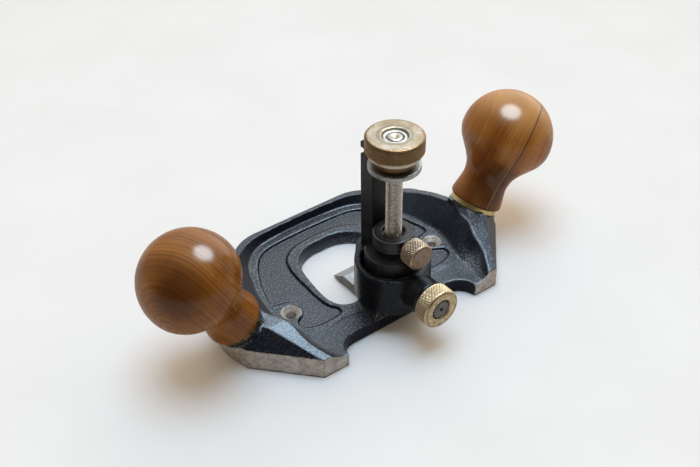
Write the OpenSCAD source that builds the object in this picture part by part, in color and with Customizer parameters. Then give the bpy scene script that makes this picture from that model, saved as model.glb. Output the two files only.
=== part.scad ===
// Hand router plane: cast sole with two splayed ball knobs, a threaded post with
// a depth knob and a depth stop, a blade clamp, and an L-shaped cutter.
// Frame: +Z up, sole on Z = 0, post axis on the Z axis, +Y the way the cutter points.
// Lengths in millimetres.

/* [Sole] */
// Half width of the sole at the widest corner of its straight sides
sole_half_w = 82.5; // [81:0.5:84]
// Thickness of the sole plate
plate_t = 8.2; // [8:0.1:9]
// Height of the front wall
wall_h = 13; // [12.5:0.1:14]
// Front face of the sole, ahead of the post axis
front_y = 85.7; // [85:0.1:87]
// Rear face of the two feet, behind the post axis
feet_y = -18; // [-18.5:0.1:-17]
// Half width of the throat
throat_half_w = 26.2; // [25:0.1:27]
// Depth of the sunk panel round the throat
panel_sink = 0.9; // [0.5:0.1:1.2]

/* [Auxiliary sole holes] */
// Distance of each countersunk hole from the centre line
hole_x = 47.2; // [46:0.1:48]
// Distance of the holes ahead of the post axis
hole_y = 23.8; // [23:0.1:25]
// Diameter of the holes
hole_d = 5.4; // [5:0.1:6]
// Diameter of the countersinks
sink_d = 10.4; // [9.5:0.1:11]

/* [Knobs] */
// Height of the centre of each ball
knob_z = 55.4; // [54:0.1:57]
// Distance of each ball's centre from the centre line
knob_x = 99.9; // [98:0.1:102]
// Distance of the ball centres ahead of the post axis
knob_y = 25.3; // [25:0.1:26]
// Outward lean of the knobs, degrees
knob_tilt = 30.7; // [28:0.1:33]
// Radius of the ball
knob_r = 25.4; // [24:0.1:26]

/* [Post and housing] */
// Diameter of the threaded post
post_d = 8.2; // [8:0.1:8.4]
// Height of the top of the post
post_top = 107.9; // [106:0.1:108]
// Radius of the housing
house_r = 19.3; // [19:0.1:20]
// Height of the housing's rim
house_z = 35.6; // [35:0.1:36.5]
// Radius of the housing's pocket
pocket_r = 16.2; // [16:0.1:16.4]
// Height of the clamp screw's axis
clamp_z = 27.2; // [26.5:0.1:28]

/* [Depth adjuster] */
// Radius of the knurled depth knob
nut_r = 14.3; // [13.8:0.1:14.5]
// Height of the top of the depth knob
nut_top = 108.6; // [108.4:0.1:109]
// Radius of the flange that engages the blade
flange_r = 12.87; // [12.8:0.01:12.95]

/* [Depth stop] */
// Outer radius of the stop ring
stop_r = 10.3; // [10:0.1:10.5]
// Height of the underside of the stop ring
stop_z = 45.5; // [45:0.1:46]
// Height of the top of the stop ring
stop_top = 52.9; // [52.5:0.1:53]

/* [Blade] */
// Side of the square shank
shank_w = 9.525; // [9.4:0.005:9.6]
// Height of the top of the shank
shank_top = 97.5; // [96.5:0.1:98]
// Width of the cutter
cutter_w = 16.5; // [12:0.1:19]
// Thickness of the cutter
cutter_t = 5.5; // [5:0.1:6]
// Height of the cutter's underside above the sole at rest
cutter_z = 1.3; // [1:0.1:1.5]
// Cutting edge, ahead of the post axis
edge_y = 40.3; // [38:0.1:41]

/* [Hidden] */
$fn = 96;
e = 0.01;

shank_y0 = 10.66;                     // rear face of the shank
shank_y1 = shank_y0 + shank_w;        // front face of the shank
shank_z0 = cutter_z + cutter_t;       // lower end of the shank
seat_d = 43.4;                        // ball centre to boss seat, along the knob axis
under_z = 14;                         // underside of the housing where it overhangs
pocket_z = 17;                        // floor of the pocket

// ---------- helpers ----------

// right half outline points followed by their mirror images
function both(p) = concat(p, [for (i = [len(p) - 1 : -1 : 0]) if (p[i][0] > 0) [-p[i][0], p[i][1]]]);
// points on an arc, centre c, radius r, angles a0 to a1 in n steps
function arc(c, r, a0, a1, n = 8) =
    [for (i = [0 : n]) let (a = a0 + (a1 - a0) * i / n) [c[0] + r * cos(a), c[1] + r * sin(a)]];

// frame of one knob: Z along the knob axis, origin at the ball's centre
module knob_frame(side) {
    mirror([side < 0 ? 1 : 0, 0, 0])
        translate([knob_x, knob_y, knob_z]) rotate([0, knob_tilt, 0]) children();
}
// lays a shape that stands on Z along -Y
module toward_user(z) { translate([0, 0, z]) rotate([90, 0, 0]) children(); }

// ---------- base casting ----------

// right half of the sole's outline, from the middle of the front to the middle of the back
sole_half = concat(
    [[0, front_y], [29, front_y]],
    arc([29, front_y - 25.1], 25.1, 88, 50, 7),
    [[64.4, 65.4]],
    arc([60.2, 46.2], 22, 42, 4, 7),
    [[84.6, 35], [85.4, 28], [85.2, 22]],
    [[sole_half_w, 10.5], [56.5, feet_y], [41.4, feet_y]],
    arc([30.6, -18], 10.6, 2, 90, 8),
    [[0, -7.4]]);

// height of the wall and ridge, by distance along Y
side_profile = [[-30, 0], [-30, 7.5], [-17.9, 11.1], [-13.6, 12.9], [-7.1, 15.7], [-2, 17.9],
    [2, 19.6], [7.7, 22], [18, 23.4], [25, 22.8], [30, 20.9], [36, 18.8], [44, 17], [53, 15.4],
    [61, 14.2], [72, 13.2], [78, wall_h], [95, wall_h], [95, 0]];

// half-space above the sloping outer facet of one ridge
module outer_facet_cut() {
    translate([56.5, feet_y, 11.1]) rotate([0, 0, 47.6]) rotate([58, 0, 0])
        translate([-30, -40, 0]) cube([60, 120, 60]);
}
// inner edge of the top of the wall and ridges, right half
tray_edge = [[0, 82.6], [21, 82], [27.6, 81.7], [34, 80.5], [39.3, 78.4], [43.5, 75.6], [58.9, 63.2], [64.6, 54.9], [66.9, 48.9],
    [68.2, 41.8], [68.4, 36.3], [67.1, 30.5], [65.4, 23.5], [63.6, 14.4], [59.6, 5.7], [58.2, -2.2], [55.3, -10.5], [50.9, -18], [48.5, -30]];
// space above a sloping inner face that starts on the floor along the line from a to b
// and climbs outward at the given angle; the outside is on the left of the line
module above_slope(a, b, angle) {
    translate([a[0], a[1], plate_t]) rotate([0, 0, atan2(b[1] - a[1], b[0] - a[0])]) rotate([angle, 0, 0])
        translate([-200, -200, 0]) cube([400, 400, 200]);
}
// the sloping faces of the right side, by the foot of each on the floor
front_slopes = [[[30, 81.4], [-30, 81.4], -70], [[38, 76.2], [47.2, 64.6], 42], [[46.8, 64], [53.6, 40], 30],
    [[54.6, 40], [54.6, 28], 36], [[52.6, 18], [48.2, 5], 42]];
rear_slopes = [[[47.6, 0], [49.6, -18], 37]];
module tray_hollow(slopes, y0, y1) {
    intersection() {
        translate([-100, y0, plate_t]) cube([200, y1 - y0, 50]);
        linear_extrude(60) polygon(both(tray_edge));
        for_all(slopes);
    }
}
module for_all(slopes) {
    intersection_for (m = [0, 1]) mirror([m, 0, 0])
        intersection_for (q = slopes) above_slope(q[0], q[1], q[2]);
}
// space above the outward fall of the top of the wall, beside one boss
module outer_fall() {
    intersection() {
        translate([55, 26.5, 5]) cube([50, 45, 60]);
        union() {
            translate([72.6, 44, 17]) rotate([0, 0, 14.7]) rotate([0, 39.6, 0]) translate([-40, -60, 0]) cube([90, 120, 40]);
            translate([65.4, 61.6, 14.1]) rotate([0, 0, 39.8]) rotate([0, 40.7, 0]) translate([-40, -60, 0]) cube([90, 120, 40]);
        }
    }
}
module tray() {
    difference() {
        intersection() {
            linear_extrude(40) polygon(both(sole_half));
            rotate([90, 0, 90]) translate([0, 0, -120]) linear_extrude(240) polygon(side_profile);
        }
        tray_hollow(front_slopes, 2, 90);
        tray_hollow(rear_slopes, -40, 2.2);
        outer_facet_cut();
        mirror([1, 0, 0]) outer_facet_cut();
        outer_fall();
        mirror([1, 0, 0]) outer_fall();
    }
}

// solid under each knob, square to the knob's axis
module knob_boss(side) {
    intersection() {
        knob_frame(side) translate([0, 0, -seat_d - 34]) cylinder(r = 13.8, h = 34);
        translate([-120, -60, 6.4]) cube([240, 200, 60]);
    }
}

// right half of the throat, front to back
throat_half = concat([[0, 63.2], [6, 63.2], [10, 62.5], [15, 60.3], [18.6, 57.3], [21.2, 53.6], [23.4, 47.4], [24.6, 41], [25.5, 34],
    [throat_half_w, 27]], arc([throat_half_w - 11, 21.3], 11, 0, -90, 6), [[0, 10.3]]);
// outer edge of the sunk panel, right half
panel_half = [[0, 75.9], [20, 75.2], [26, 74.6], [31.5, 73], [35.6, 70.2], [39.3, 66], [42.9, 60.2], [45.9, 54], [47.9, 49.4],
    [49.8, 43], [51.2, 38.5], [51.4, 35.6], [49.4, 33.2], [46.2, 31.8], [46.2, 17], [47.4, 16.6], [48.6, 14.8], [48.6, 12.2], [45.9, 9.2],
    [41, 7.8], [33.3, 7.5], [28, 8.1], [25.9, 9.8], [25.9, 12.6], [28.3, 15.3]];
// raised rim round the throat, right half
lip_half = [[0, 68.8], [8, 68.6], [14, 67.8], [19.2, 65.8], [22.7, 63.2], [25.5, 59.8], [26.9, 56.6], [28.5, 50.3], [29.2, 43.1],
    [29.4, 36], [29.9, 28], [29.6, 20.2], [28.3, 15], [25.4, 11.6], [25, 0], [0, 0]];

module panel_plan() {
    difference() {
        polygon(both(panel_half));
        polygon(both(lip_half));
        for (s = [-1, 1]) translate([s * hole_x, hole_y]) circle(r = 7);
    }
}
// lower ground on the two feet, behind the raised floor
module feet_ground_plan() {
    for (s = [0, 1]) mirror([s, 0]) polygon([[17.5, 1], [21.2, 2.8], [27.6, 3.9], [34.4, 3.2], [40.8, 2.2], [46.2, 3.4],
        [47.6, 4], [50, -6], [51, feet_y - 1], [40, feet_y - 1], [17.5, -9]]);
}

module housing() {
    // round body with a nose over the throat
    translate([0, 0, under_z]) linear_extrude(house_z - under_z) {
        circle(r = house_r);
        translate([0, 14.7]) circle(r = 9.5);
        polygon([[-14.4, 12.86], [14.4, 12.86], [7.08, 21.03], [-7.08, 21.03]]);
    }
    // pillar down to the bridge
    intersection() {
        translate([0, 0, 2]) cylinder(r = 16.6, h = under_z - 1);
        translate([-30, -6.4, 0]) cube([60, 16.7, 40]);
    }
    // clamp boss
    toward_user(clamp_z) translate([0, 0, 12]) cylinder(r = 9.4, h = 16.6);
}

module base_casting() {
    color("#2a2c33") difference() {
        union() {
            tray();
            knob_boss(1);
            knob_boss(-1);
            housing();
        }
        // throat
        translate([0, 0, -1]) linear_extrude(plate_t + 2) polygon(both(throat_half));
        // sunk panel and lower ground on the feet
        translate([0, 0, plate_t - panel_sink]) linear_extrude(panel_sink + 0.2) panel_plan();
        translate([0, 0, plate_t - 0.5]) linear_extrude(0.6) feet_ground_plan();
        // countersunk holes for an auxiliary sole
        for (s = [-1, 1]) translate([s * hole_x, hole_y, 0]) {
            translate([0, 0, -1]) cylinder(d = hole_d, h = 20);
            translate([0, 0, plate_t - (sink_d - hole_d) / 2]) cylinder(d1 = hole_d, d2 = sink_d + 2, h = (sink_d - hole_d) / 2 + 1);
        }
        // pocket, post bore and shank slot
        translate([0, 0, pocket_z]) cylinder(r = pocket_r, h = 40);
        translate([0, 0, 3]) cylinder(d = post_d, h = 30);
        translate([-shank_w / 2 - 0.08, shank_y0 - 0.5, under_z - 5]) cube([shank_w + 0.16, shank_w + 0.6, 40]);
        // clamp screw bore, with the spring's counterbore
        toward_user(clamp_z) {
            cylinder(r = 3.05, h = 40);
            translate([0, 0, 8]) cylinder(r = 5.2, h = 15.8);
        }
        // spot faces for the ferrules, and knob stud bores
        for (s = [-1, 1]) knob_frame(s) translate([0, 0, -seat_d]) cylinder(r = 15.2, h = 30);
        for (s = [-1, 1]) knob_frame(s) translate([0, 0, -seat_d - 12.5]) cylinder(r = 3, h = 20);
        // under the sole
        translate([-150, -100, -50]) cube([300, 300, 50]);
    }
}

// ---------- knobs ----------

// profile of a knob: half section, radius against distance along the axis
knob_profile = concat(
    [[0, knob_r]],
    [for (i = [1 : 15]) let (a = 90 - i * 7.8) [knob_r * cos(a), knob_r * sin(a)]],
    arc([29.9, -26.4], 17.2, 141.5, 216, 10),
    [[14.55, -38.2], [14.5, -39.2], [13.9, -40]],
    [[0, -40]]);

module wood_knob(side) {
    color("#8a5527") knob_frame(side) difference() {
        rotate_extrude() polygon(knob_profile);
        translate([0, 0, -41]) cylinder(r = 4.5, h = 18);
    }
}
module knob_left() { wood_knob(-1); }
module knob_right() { wood_knob(1); }

module ferrule(side) {
    color("#b08d4a") knob_frame(side) translate([0, 0, -seat_d]) difference() {
        rotate_extrude() polygon([[3.2, 0], [13, 0], [13.3, 0.4], [13.3, 3], [13, 3.4], [3.2, 3.4]]);
        translate([0, 0, -1]) cylinder(r = 3.2, h = 6);
    }
}
module ferrule_left() { ferrule(-1); }
module ferrule_right() { ferrule(1); }

module knob_stud(side) {
    color("silver") knob_frame(side) translate([0, 0, -seat_d - 12.5]) cylinder(r = 3, h = 30);
}
module knob_stud_left() { knob_stud(-1); }
module knob_stud_right() { knob_stud(1); }

module knob_insert(side) {
    color("#b08d4a") knob_frame(side) translate([0, 0, -40]) difference() {
        cylinder(r = 4.5, h = 15);
        translate([0, 0, -1]) cylinder(r = 3, h = 17);
    }
}
module knob_insert_left() { knob_insert(-1); }
module knob_insert_right() { knob_insert(1); }

// ---------- post, depth knob, depth stop ----------

module adjuster_post() {
    color("#a09a92") difference() {
        rotate_extrude() polygon([[0, 3], [post_d / 2, 3], [post_d / 2, post_top - 0.8], [post_d / 2 - 0.8, post_top], [0, post_top]]);
        translate([0, 0, post_top - 1]) cylinder(r1 = 0.3, r2 = 1.4, h = 1.1);
    }
}

module adjuster_knob() {
    color("#a8905e") rotate_extrude() polygon([[6.05, 93.2], [10.2, 93.2], [10.2, 98.2], [12.6, 98.2], [12.9, 98.5],
        [12.9, 100.4], [nut_r - 0.4, 100.4], [nut_r, 100.8], [nut_r, nut_top - 0.9], [nut_r - 0.9, nut_top], [7.1, nut_top], [6.05, nut_top - 1]]);
}

module adjuster_bush() {
    color("#b9b5ae") rotate_extrude() polygon([[post_d / 2 + 0.08, 90.5], [flange_r - 0.4, 90.5], [flange_r, 90.9], [flange_r, 92.8],
        [flange_r - 0.4, 93.2], [6.05, 93.2], [6.05, nut_top - 0.9], [post_d / 2 + 0.08, nut_top - 0.9]]);
}

module depth_stop_collar() {
    color("#3a3a3c") difference() {
        rotate_extrude() polygon([[post_d / 2 + 0.08, stop_z], [stop_r - 0.5, stop_z], [stop_r, stop_z + 0.5], [stop_r, stop_top - 0.6],
            [stop_r - 0.6, stop_top], [6, stop_top], [5.6, stop_top - 0.4], [5.6, stop_top - 2], [post_d / 2 + 0.08, stop_top - 2.6]]);
        toward_user((stop_z + stop_top) / 2) translate([0, 0, 2]) cylinder(r = 2.45, h = 14);
    }
}

module depth_stop_screw() {
    color("#9c7b48") toward_user((stop_z + stop_top) / 2)
        rotate_extrude() polygon([[0, 4.25], [2, 4.25], [2.4, 4.65], [2.4, 11.4], [4.4, 11.4], [4.4, 13.3],
            [6.3, 13.3], [6.9, 13.9], [6.9, 21.2], [6.1, 22.1], [0, 22.1]]);
}

// ---------- blade clamp ----------

module clamp_shoe() {
    color("#333335") difference() {
        rotate_extrude() polygon([[0, pocket_z + 0.3], [14, pocket_z + 0.3], [14.5, pocket_z + 0.8], [14.5, 41.1], [14, 41.6], [0, 41.6]]);
        // flat against the shank
        translate([-20, shank_y0 - 0.06, 10]) cube([40, 20, 40]);
        // slot for the post
        for (y = [0, 1.3]) translate([0, y, 10]) cylinder(r = 4.4, h = 40);
        translate([-4.4, 0, 10]) cube([8.8, 1.3, 40]);
        // seat for the screw's point and the spring
        toward_user(clamp_z) translate([0, 0, 13.6]) cylinder(r = 5.3, h = 6);
    }
}

module clamp_screw() {
    color("#6d6962") toward_user(clamp_z) difference() {
        rotate_extrude() polygon([[0, 13.65], [2.2, 13.65], [3, 14.45], [3, 33], [5.1, 33], [5.1, 37], [4.7, 37.4], [0, 37.4]]);
        translate([0, 0, 35.6]) cylinder(r = 0.9, h = 4);
    }
}

module clamp_knob() {
    color("#b39a63") toward_user(clamp_z)
        rotate_extrude() polygon([[3, 29.2], [9.4, 29.2], [10.5, 30], [10.5, 36.8], [9.8, 37.8], [6, 37.8], [5.4, 37.2], [5.4, 33], [3, 33]]);
}

// coil spring round the clamp screw: rings of wire joined into one turn after turn
spring_turns = 4;
spring_wire = 0.9;
module clamp_spring() {
    color("silver") toward_user(clamp_z) {
        n = spring_turns * 20;
        m = 8;
        y0 = 14.1;
        y1 = 23.3;
        pts = [for (i = [0 : n]) for (k = [0 : m - 1]) let (a = i * 18, b = k * 360 / m, r = 4.2 + spring_wire / 2 * cos(b))
            [r * cos(a), r * sin(a), y0 + (y1 - y0) * i / n + spring_wire / 2 * sin(b)]];
        side = [for (i = [0 : n - 1]) for (k = [0 : m - 1]) let (a = i * m + k, b = i * m + (k + 1) % m, c = a + m, d = b + m)
            each [[a, b, c], [b, d, c]]];
        polyhedron(pts, concat([[for (k = [m - 1 : -1 : 0]) k]], side, [[for (k = [0 : m - 1]) n * m + k]]), convexity = 8);
    }
}

// ---------- blade ----------

module blade_shank() {
    color("#232326") difference() {
        translate([-shank_w / 2, shank_y0, shank_z0]) cube([shank_w, shank_w, shank_top - shank_z0]);
        // notches for the depth knob's flange, front and back
        translate([-10, shank_y0 - 1, 90.1]) cube([20, 3.5, 3.5]);
        translate([-10, shank_y1 - 2.5, 90.1]) cube([20, 3.5, 3.5]);
        // chamfered top edges
        for (y = [shank_y0, shank_y1]) translate([0, y, shank_top]) rotate([45, 0, 0]) cube([20, 1.1, 1.1], center = true);
        // tapped hole for the cutter's screw
        translate([0, (shank_y0 + shank_y1) / 2, shank_z0 - 1]) cylinder(r = 1.95, h = 11);
    }
}

module blade_head() {
    color("#b4b2b0") difference() {
        rotate([90, 0, 90]) translate([0, 0, -cutter_w / 2]) linear_extrude(cutter_w)
            polygon([[10.95, cutter_z], [edge_y, cutter_z], [edge_y, cutter_z + 0.15], [edge_y - 9.2, shank_z0], [10.95, shank_z0]]);
        translate([0, (shank_y0 + shank_y1) / 2, 0]) {
            cylinder(r = 2.2, h = 20);
            translate([0, 0, cutter_z - e]) cylinder(r1 = 4.3, r2 = 2.2, h = 2.1);
        }
    }
}

module blade_screw() {
    color("#55524e") translate([0, (shank_y0 + shank_y1) / 2, 0]) difference() {
        rotate_extrude() polygon([[0, cutter_z + 0.25], [3.75, cutter_z + 0.25], [1.95, cutter_z + 2.1], [1.95, shank_z0 + 8.5], [0, shank_z0 + 8.5]]);
        translate([0, 0, cutter_z]) cylinder(r = 1.5, h = 1.6, $fn = 6);
    }
}

base_casting();
knob_left();
knob_right();
ferrule_left();
ferrule_right();
knob_stud_left();
knob_stud_right();
knob_insert_left();
knob_insert_right();
adjuster_post();
adjuster_knob();
adjuster_bush();
depth_stop_collar();
depth_stop_screw();
clamp_shoe();
clamp_screw();
clamp_knob();
clamp_spring();
blade_shank();
blade_head();
blade_screw();
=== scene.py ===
import bmesh
import bpy
import math
import numpy as np
from mathutils import Matrix, Vector


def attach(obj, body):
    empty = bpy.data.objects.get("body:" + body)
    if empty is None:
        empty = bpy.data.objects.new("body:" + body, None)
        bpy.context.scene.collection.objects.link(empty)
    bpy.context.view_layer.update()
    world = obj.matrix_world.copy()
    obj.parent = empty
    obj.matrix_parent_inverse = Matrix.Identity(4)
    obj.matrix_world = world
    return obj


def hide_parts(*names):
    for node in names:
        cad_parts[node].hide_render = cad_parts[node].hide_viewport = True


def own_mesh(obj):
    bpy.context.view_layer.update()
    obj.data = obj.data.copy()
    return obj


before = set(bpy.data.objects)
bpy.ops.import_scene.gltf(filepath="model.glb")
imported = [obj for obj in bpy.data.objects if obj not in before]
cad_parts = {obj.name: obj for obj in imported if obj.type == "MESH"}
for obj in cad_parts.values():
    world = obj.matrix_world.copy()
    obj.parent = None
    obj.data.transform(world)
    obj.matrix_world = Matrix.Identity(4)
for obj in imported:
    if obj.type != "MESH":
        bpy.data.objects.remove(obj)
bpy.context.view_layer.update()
scene = bpy.context.scene
MM = 0.001

# ---------------------------------------------------------------- camera

def make_camera(pos_mm, azimuth, elevation, roll, focal_px):
    a, e, r = (math.radians(v) for v in (azimuth, elevation, roll))
    back = Vector((math.sin(a) * math.cos(e), -math.cos(a) * math.cos(e), math.sin(e)))
    right = Vector((math.cos(a), math.sin(a), 0.0))
    up = back.cross(right)
    x = right * math.cos(r) + up * math.sin(r)
    y = up * math.cos(r) - right * math.sin(r)
    data = bpy.data.cameras.new("camera")
    data.sensor_width = 36.0
    data.lens = focal_px * 36.0 / 700.0
    data.clip_start, data.clip_end = 0.01, 50.0
    cam = bpy.data.objects.new("camera", data)
    m = Matrix((x, y, back)).transposed().to_4x4()
    m.translation = Vector(pos_mm) * MM
    cam.matrix_world = m
    scene.collection.objects.link(cam)
    scene.camera = cam


make_camera((-267.31, -323.58, 379.49), -36.6405, 38.0475, -0.8595, 1081.938)

# ---------------------------------------------------------------- mesh helpers

def new_object(name, verts_mm, faces, material, smooth=True, attrs=None):
    me = bpy.data.meshes.new(name)
    v = np.asarray(verts_mm, float) * MM
    me.from_pydata(v.tolist(), [], [list(map(int, f)) for f in faces])
    me.update()
    if attrs:
        for key, val in attrs.items():
            a = me.attributes.new(key, "FLOAT", "POINT")
            a.data.foreach_set("value", np.asarray(val, np.float32))
    me.polygons.foreach_set("use_smooth", [smooth] * len(me.polygons))
    ob = bpy.data.objects.new(name, me)
    scene.collection.objects.link(ob)
    if material is not None:
        me.materials.append(material)
    return ob


def smooth_by_angle(ob, degrees):
    """Edges sharper than the angle are shaded sharp."""
    me = ob.data
    me.set_sharp_from_angle(angle=math.radians(degrees))


def place(points, origin, axis):
    """Points with Z along the given axis, moved to origin; X stays as level as it can."""
    z = np.asarray(axis, float)
    z = z / np.linalg.norm(z)
    ref = np.array([0.0, 1.0, 0.0]) if abs(z[1]) < 0.9 else np.array([1.0, 0.0, 0.0])
    x = np.cross(ref, z)
    x /= np.linalg.norm(x)
    y = np.cross(z, x)
    p = np.asarray(points, float)
    return np.asarray(origin, float) + p[:, :1] * x + p[:, 1:2] * y + p[:, 2:3] * z


def lathe(profile, n, wobble=None):
    """Turns a list of (radius, height) about Z. wobble(angle, radius, height) gives the radius offset and a groove value."""
    prof = np.asarray(profile, float)
    th = np.arange(n) * 2 * math.pi / n
    r = np.repeat(prof[:, 0][:, None], n, 1)
    h = np.repeat(prof[:, 1][:, None], n, 1)
    t = np.repeat(th[None, :], len(prof), 0)
    groove = np.zeros_like(r)
    if wobble is not None:
        dr, groove = wobble(t, r, h)
        r = r + dr
    verts = np.stack([r * np.cos(t), r * np.sin(t), h], -1).reshape(-1, 3)
    idx = np.arange(len(prof) * n).reshape(len(prof), n)
    a, b = idx[:-1], idx[1:]
    a2, b2 = np.roll(a, -1, 1), np.roll(b, -1, 1)
    faces = np.stack([a, a2, b2, b], -1).reshape(-1, 4).tolist()
    groove = groove.reshape(-1)
    # ends on the axis close with a fan
    verts = verts.tolist()
    groove = groove.tolist()
    for row, flip in ((0, True), (len(prof) - 1, False)):
        if prof[row, 0] > 1e-6 and not closed_profile(prof):
            verts.append([0.0, 0.0, float(prof[row, 1])])
            groove.append(0.0)
            c = len(verts) - 1
            ring = idx[row]
            for i in range(n):
                j = (i + 1) % n
                faces.append([c, int(ring[j]), int(ring[i])] if flip else [c, int(ring[i]), int(ring[j])])
    return np.array(verts), faces, np.array(groove)


def closed_profile(prof):
    return bool(np.allclose(prof[0], prof[-1]))


def weld(verts, faces, extra, tol=1e-4):
    """Joins points that coincide."""
    key = np.round(verts / tol).astype(np.int64)
    _, first, inv = np.unique(key, axis=0, return_index=True, return_inverse=True)
    inv = inv.reshape(-1)
    out = []
    for f in faces:
        g = [int(inv[i]) for i in f]
        g = [p for k, p in enumerate(g) if p != g[k - 1]]
        if len(g) > 2 and len(set(g)) == len(g):
            out.append(g)
    return verts[first], out, extra[first]


def rounded(profile, radius, steps=4):
    """Rounds the corners of an open or closed (first point repeated) profile."""
    p = [np.array(q[:2], float) for q in profile]
    rr = [q[2] if len(q) > 2 else radius for q in profile]
    closed = np.allclose(p[0], p[-1])
    out = []
    last = len(p) - 1
    for i, c in enumerate(p):
        if i in (0, last) and not closed:
            out.append(c)
            continue
        if closed and i == last:
            continue
        a, b = p[i - 1] if i else p[last - 1], p[i + 1] if i < last else p[1]
        u, v = a - c, b - c
        lu, lv = np.linalg.norm(u), np.linalg.norm(v)
        r = min(rr[i], 0.45 * lu, 0.45 * lv)
        if r < 1e-6:
            out.append(c)
            continue
        s, e = c + u / lu * r, c + v / lv * r
        for k in range(steps + 1):
            t = k / steps
            out.append((1 - t) ** 2 * s + 2 * t * (1 - t) * c + t ** 2 * e)
    if closed:
        out.append(out[0])
    return [tuple(q) for q in out]


def densify(profile, step, radius=0.0):
    """Splits long segments. Those inside the radius, which carry no knurl, stay coarser."""
    out = [profile[0]]
    for a, b in zip(profile[:-1], profile[1:]):
        n = max(1, int(math.ceil(math.dist(a, b) / (step if max(a[0], b[0]) > radius else 4 * step))))
        for k in range(1, n + 1):
            out.append((a[0] + (b[0] - a[0]) * k / n, a[1] + (b[1] - a[1]) * k / n))
    return out


def spline(points, per=6):
    """Catmull-Rom through 2-D points."""
    p = [np.array(q, float) for q in points]
    p = [2 * p[0] - p[1]] + p + [2 * p[-1] - p[-2]]
    out = []
    for i in range(1, len(p) - 2):
        for k in range(per):
            t = k / per
            out.append(tuple(0.5 * ((2 * p[i]) + (p[i + 1] - p[i - 1]) * t
                       + (2 * p[i - 1] - 5 * p[i] + 4 * p[i + 1] - p[i + 2]) * t ** 2
                       + (3 * p[i] - p[i - 1] - 3 * p[i + 1] + p[i + 2]) * t ** 3)))
    out.append(tuple(p[-2]))
    return out


def put(name, geo, material, body, replaces, origin=(0, 0, 0), axis=(0, 0, 1), sharp=None, extra=None):
    """Makes a turned piece stand for its CAD nodes."""
    verts, faces, groove = weld(*geo)
    v = place(verts, origin, axis) if tuple(axis) != (0, 0, 1) or tuple(origin) != (0, 0, 0) else verts
    ob = new_object(name, v, faces, material, attrs={"groove": groove, **(extra(v) if extra else {})})
    if sharp:
        smooth_by_angle(ob, sharp)
    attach(ob, body)
    if replaces:
        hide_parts(*replaces)
    return ob

# ---------------------------------------------------------------- distance-field modelling

def smax(a, b, k):
    h = np.maximum(k - np.abs(a - b), 0.0) / k
    return np.maximum(a, b) + h * h * k * 0.25


def smin(a, b, k):
    return -smax(-a, -b, k)


def sstep(a, b, x):
    t = np.clip((x - a) / (b - a), 0.0, 1.0)
    return t * t * (3 - 2 * t)


def polygon_distance(px, py, poly):
    """Signed distance to a closed polygon, negative inside."""
    d2 = np.full(px.shape, 1e18)
    inside = np.zeros(px.shape, bool)
    n = len(poly)
    for i in range(n):
        ax, ay = poly[i - 1]
        bx, by = poly[i]
        ex, ey = bx - ax, by - ay
        length = ex * ex + ey * ey
        if length < 1e-12:
            continue
        wx, wy = px - ax, py - ay
        t = np.clip((wx * ex + wy * ey) / length, 0.0, 1.0)
        dx, dy = wx - ex * t, wy - ey * t
        d2 = np.minimum(d2, dx * dx + dy * dy)
        crosses = ((ay <= py) & (by > py)) | ((by <= py) & (ay > py))
        if abs(ey) > 1e-12:
            inside ^= crosses & (px < ax + wy / ey * ex)
    d = np.sqrt(d2)
    return np.where(inside, -d, d)


def round_polygon(poly, radius, steps=5):
    q = rounded([(p[0], p[1], p[2] if len(p) > 2 else radius) for p in list(poly) + [poly[0]]], radius, steps)
    return q[:-1]


def mirror_x(half):
    return list(half) + [(-p[0],) + tuple(p[1:]) for p in reversed(half) if p[0] > 0]


def arc(c, r, a0, a1, n=8):
    return [(c[0] + r * math.cos(math.radians(a0 + (a1 - a0) * i / n)),
             c[1] + r * math.sin(math.radians(a0 + (a1 - a0) * i / n))) for i in range(n + 1)]


def surface_nets(values, origin, step):
    """Quads of the zero surface of a grid of distances."""
    inside = values < 0
    nx, ny, nz = values.shape
    corner = [(i, j, k) for i in (0, 1) for j in (0, 1) for k in (0, 1)]
    view = lambda a, c: a[c[0]:nx - 1 + c[0], c[1]:ny - 1 + c[1], c[2]:nz - 1 + c[2]]
    count = np.zeros((nx - 1, ny - 1, nz - 1), np.int8)
    for c in corner:
        count += view(inside, c)
    active = (count > 0) & (count < 8)
    cells = np.argwhere(active)
    index = np.full(active.shape, -1, np.int64)
    index[active] = np.arange(len(cells))
    total = np.zeros((len(cells), 3))
    weight = np.zeros(len(cells))
    i, j, k = cells.T
    val = {c: values[i + c[0], j + c[1], k + c[2]] for c in corner}
    for a in corner:
        for axis in range(3):
            if a[axis]:
                continue
            b = tuple(1 if q == axis else a[q] for q in range(3))
            va, vb = val[a], val[b]
            hit = (va < 0) != (vb < 0)
            t = np.where(hit, va / np.where(hit, va - vb, 1.0), 0.0)
            p = np.repeat(np.array(a, float)[None], len(cells), 0)
            p[:, axis] += t
            total += p * hit[:, None]
            weight += hit
    verts = (cells + total / weight[:, None]) * step + np.asarray(origin)
    faces = []
    for axis in range(3):
        u, v = (axis + 1) % 3, (axis + 2) % 3
        lo = [slice(1, -1)] * 3
        lo[axis] = slice(0, -1)
        hi = list(lo)
        hi[axis] = slice(1, None)
        a, b = inside[tuple(lo)], inside[tuple(hi)]
        edge = np.argwhere(a != b)
        base = edge.copy()
        base[:, u] += 1
        base[:, v] += 1
        flip = a[tuple(edge.T)]
        quad = []
        for du, dv in ((-1, -1), (0, -1), (0, 0), (-1, 0)):
            q = base.copy()
            q[:, u] += du
            q[:, v] += dv
            quad.append(index[tuple(q.T)])
        quad = np.stack(quad, 1)
        quad[~flip] = quad[~flip][:, ::-1]
        faces.append(quad)
    return verts, np.concatenate(faces)


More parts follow.
